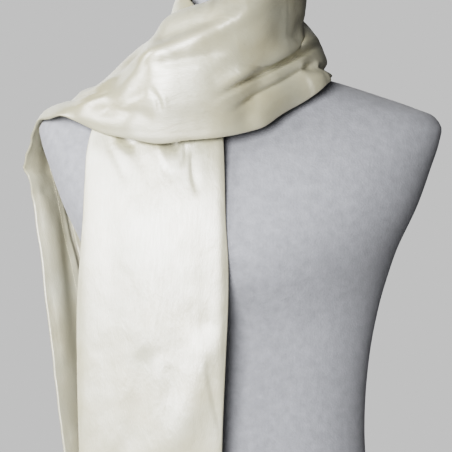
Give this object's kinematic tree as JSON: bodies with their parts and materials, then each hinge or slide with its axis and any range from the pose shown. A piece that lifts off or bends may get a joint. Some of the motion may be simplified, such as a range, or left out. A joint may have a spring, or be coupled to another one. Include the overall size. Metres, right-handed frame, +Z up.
{
  "type": "evening stole on a dress form",
  "caption": "Long satin evening stole wound round the neck of a limbless dress form, with one end down the front and the other over the shoulder and down the back.",
  "frame": {"origin": "middle of the flat underside that the dress form stands on", "axes": "+Z up, the form's chest faces -Y, +X towards the form's left arm end, away from the shoulder that the stole is thrown over"},
  "size_m": [0.501, 0.2572, 0.798],
  "materials": {
    "satin": "ivory satin, soft sheen",
    "jersey": "pale grey stretch jersey over the form, matt"
  },
  "bodies": {
    "root": {"dress_form": "jersey", "front_fall": "satin", "neck_rise": "satin", "nape_wrap": "satin", "front_cross": "satin", "shoulder_fall": "satin"}
  },
  "joints": []
}
